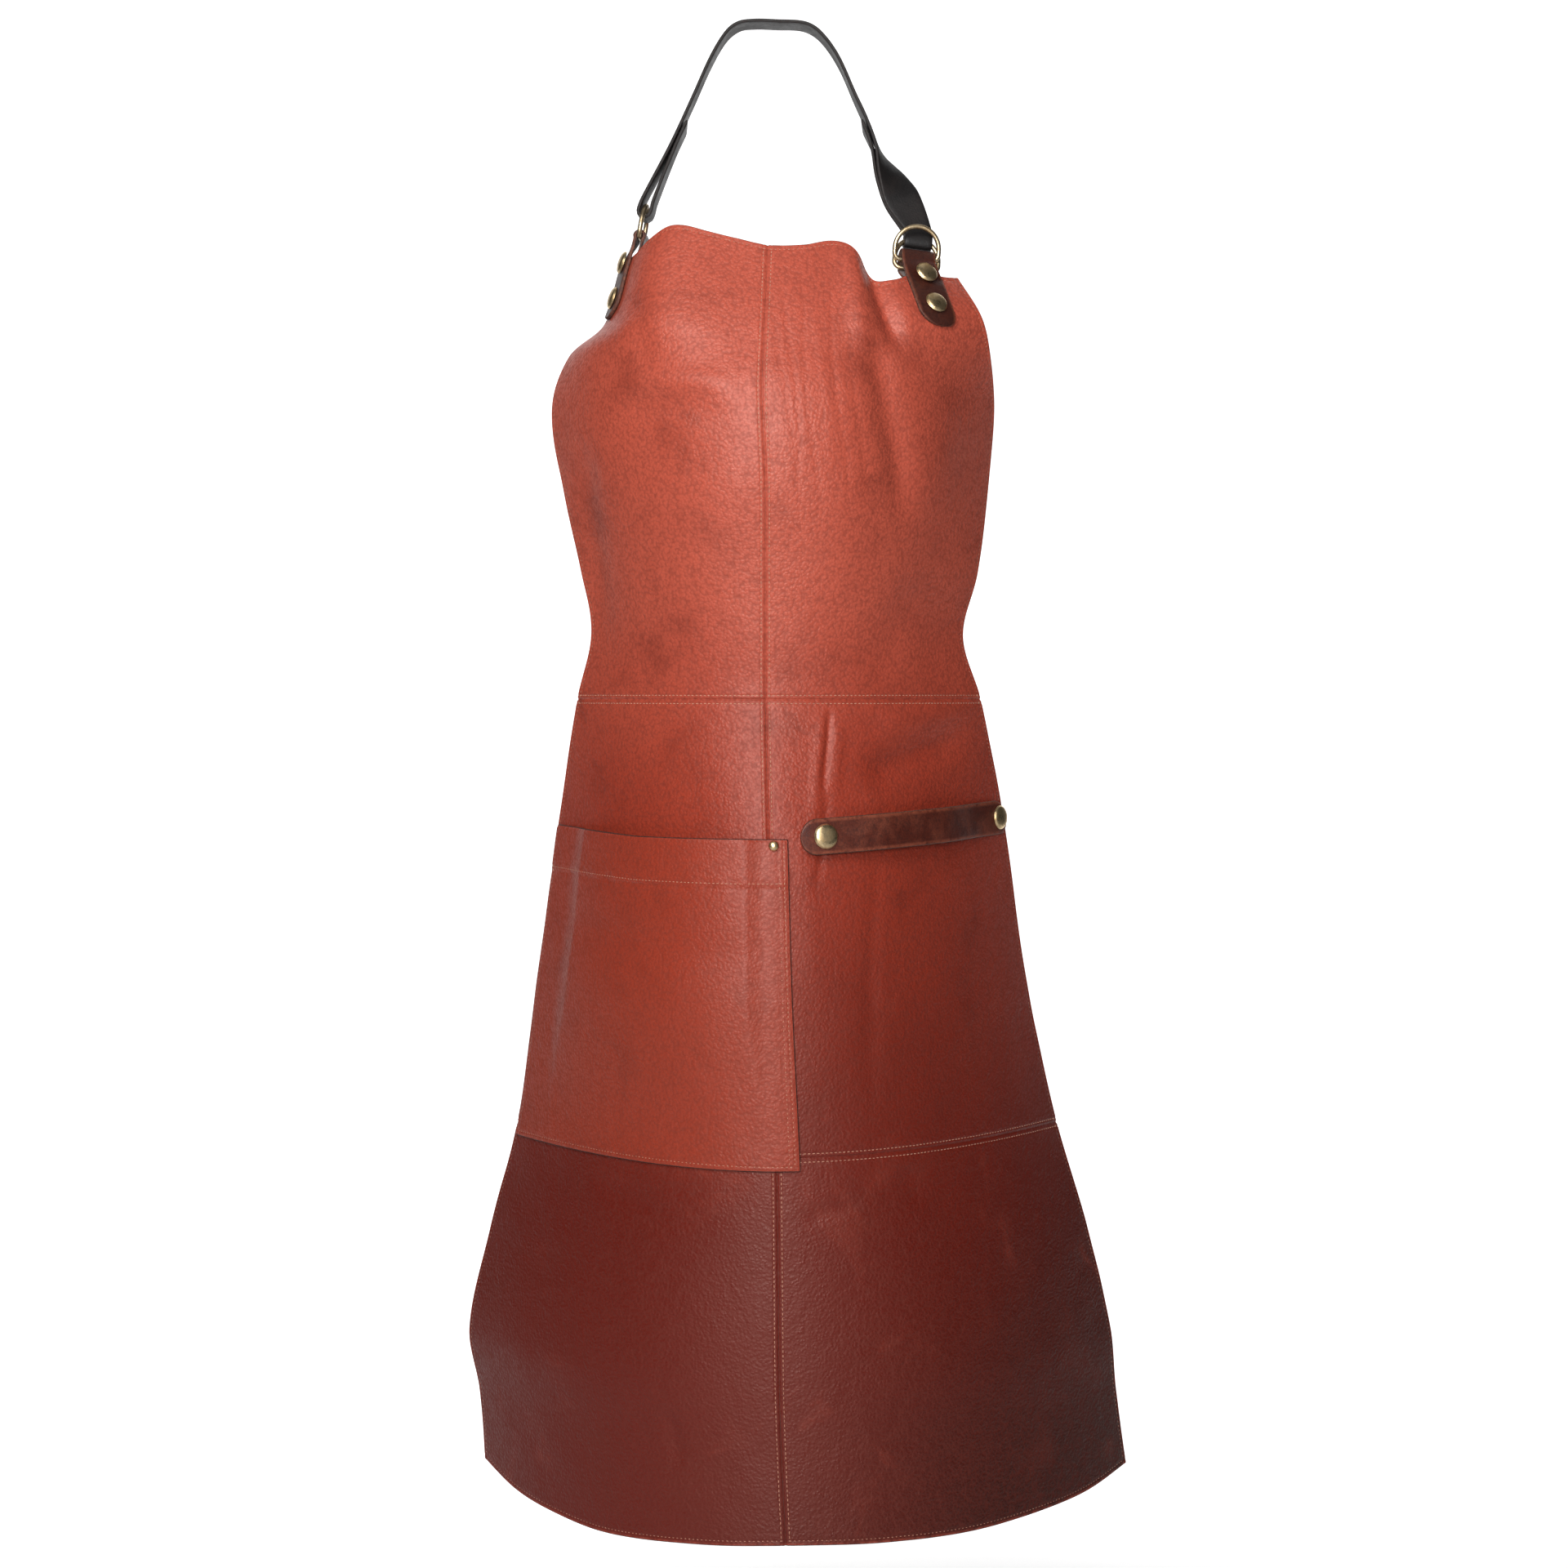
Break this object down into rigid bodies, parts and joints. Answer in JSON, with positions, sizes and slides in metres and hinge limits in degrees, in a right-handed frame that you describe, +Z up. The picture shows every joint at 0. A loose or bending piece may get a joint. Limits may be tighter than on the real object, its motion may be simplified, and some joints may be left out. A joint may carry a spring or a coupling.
{
  "type": "welding apron",
  "caption": "Leather welding apron in its worn shape: formed hide panels, pocket, snap towel strap, riveted ring tabs and a neck strap cinched through D-rings",
  "frame": {"origin": "under the top of the neck strap, where it rests on the wearer's neck", "axes": "+Z up along the wearer; the apron's front faces -Y; -X is the side with the single ring"},
  "size_m": [0.4636, 0.2316, 1.0224],
  "materials": {
    "hide": "matt, pebbled cognac to brick-red hide, darker and browner low on the right",
    "tab_leather": "smooth dark chocolate leather with a light cut edge",
    "ring_metal": "pale antique brass, satin",
    "neck_strap": "black, dull",
    "towel_strap": "dark reddish brown, mottled, with a lighter rim",
    "waist_strap": "black, dull; not seen, taken to match the neck strap",
    "slide_metal": "pale antique brass, satin; not seen",
    "brass_caps": "polished antique brass domes",
    "backs": "plain brass"
  },
  "bodies": {
    "apron": {"bib_panel_left": "hide", "bib_panel_right": "hide", "waist_panel_left": "hide", "waist_panel_right": "hide", "skirt_panel_left": "hide", "skirt_panel_right": "hide", "pocket": "hide", "ring_tab_right": "tab_leather", "ring_tab_left": "tab_leather", "towel_strap_fixed_end": "towel_strap", "tab_rivet_right_upper_cap": "brass_caps", "tab_rivet_right_upper_back": "backs", "tab_rivet_right_lower_cap": "brass_caps", "tab_rivet_right_lower_back": "backs", "tab_rivet_left_upper_cap": "brass_caps", "tab_rivet_left_upper_back": "backs", "tab_rivet_left_lower_cap": "brass_caps", "tab_rivet_left_lower_back": "backs", "pocket_rivet_cap": "brass_caps", "pocket_rivet_back": "backs", "towel_strap_rivet_cap": "brass_caps", "towel_strap_rivet_back": "backs", "snap_stud": "backs", "snap_stud_back": "backs", "waist_strap_left": "waist_strap", "waist_strap_right": "waist_strap", "waist_slide": "slide_metal"},
    "neck_strap": {"neck_strap": "neck_strap", "ring_right_rear": "ring_metal"},
    "front_ring": {"ring_right_front": "ring_metal"},
    "left_ring": {"ring_left": "ring_metal"},
    "towel_strap": {"towel_strap": "towel_strap", "snap_cap": "brass_caps", "snap_socket": "backs"},
    "keeper": {"waist_keeper": "waist_strap"}
  },
  "joints": [
    {"name": "neck_strap_swing", "type": "hinge", "parent": "apron", "child": "neck_strap", "pos_m": [0.09635, -0.03766, -0.17302], "axis": [0.9843, -0.0737, -0.1606], "range_deg": [-7, 7]},
    {"name": "front_ring_swing", "type": "hinge", "parent": "neck_strap", "child": "front_ring", "pos_m": [0.09634, -0.03873, -0.16687], "axis": [0.9841, 0.1702, -0.0501], "range_deg": [0, 60]},
    {"name": "left_ring_swing", "type": "hinge", "parent": "apron", "child": "left_ring", "pos_m": [-0.08974, -0.02383, -0.15026], "axis": [-0.0522, -0.9986, 0.0092], "range_deg": [-1.5, 1.5]},
    {"name": "towel_strap_open", "type": "hinge", "parent": "apron", "child": "towel_strap", "pos_m": [0.09408, -0.06265, -0.54894], "axis": [0, 0, 1], "range_deg": [0, 75]},
    {"name": "keeper_slide", "type": "slide", "parent": "apron", "child": "keeper", "axis": [1, 0, 0], "range_m": [-0.008, 0.008]}
  ]
}
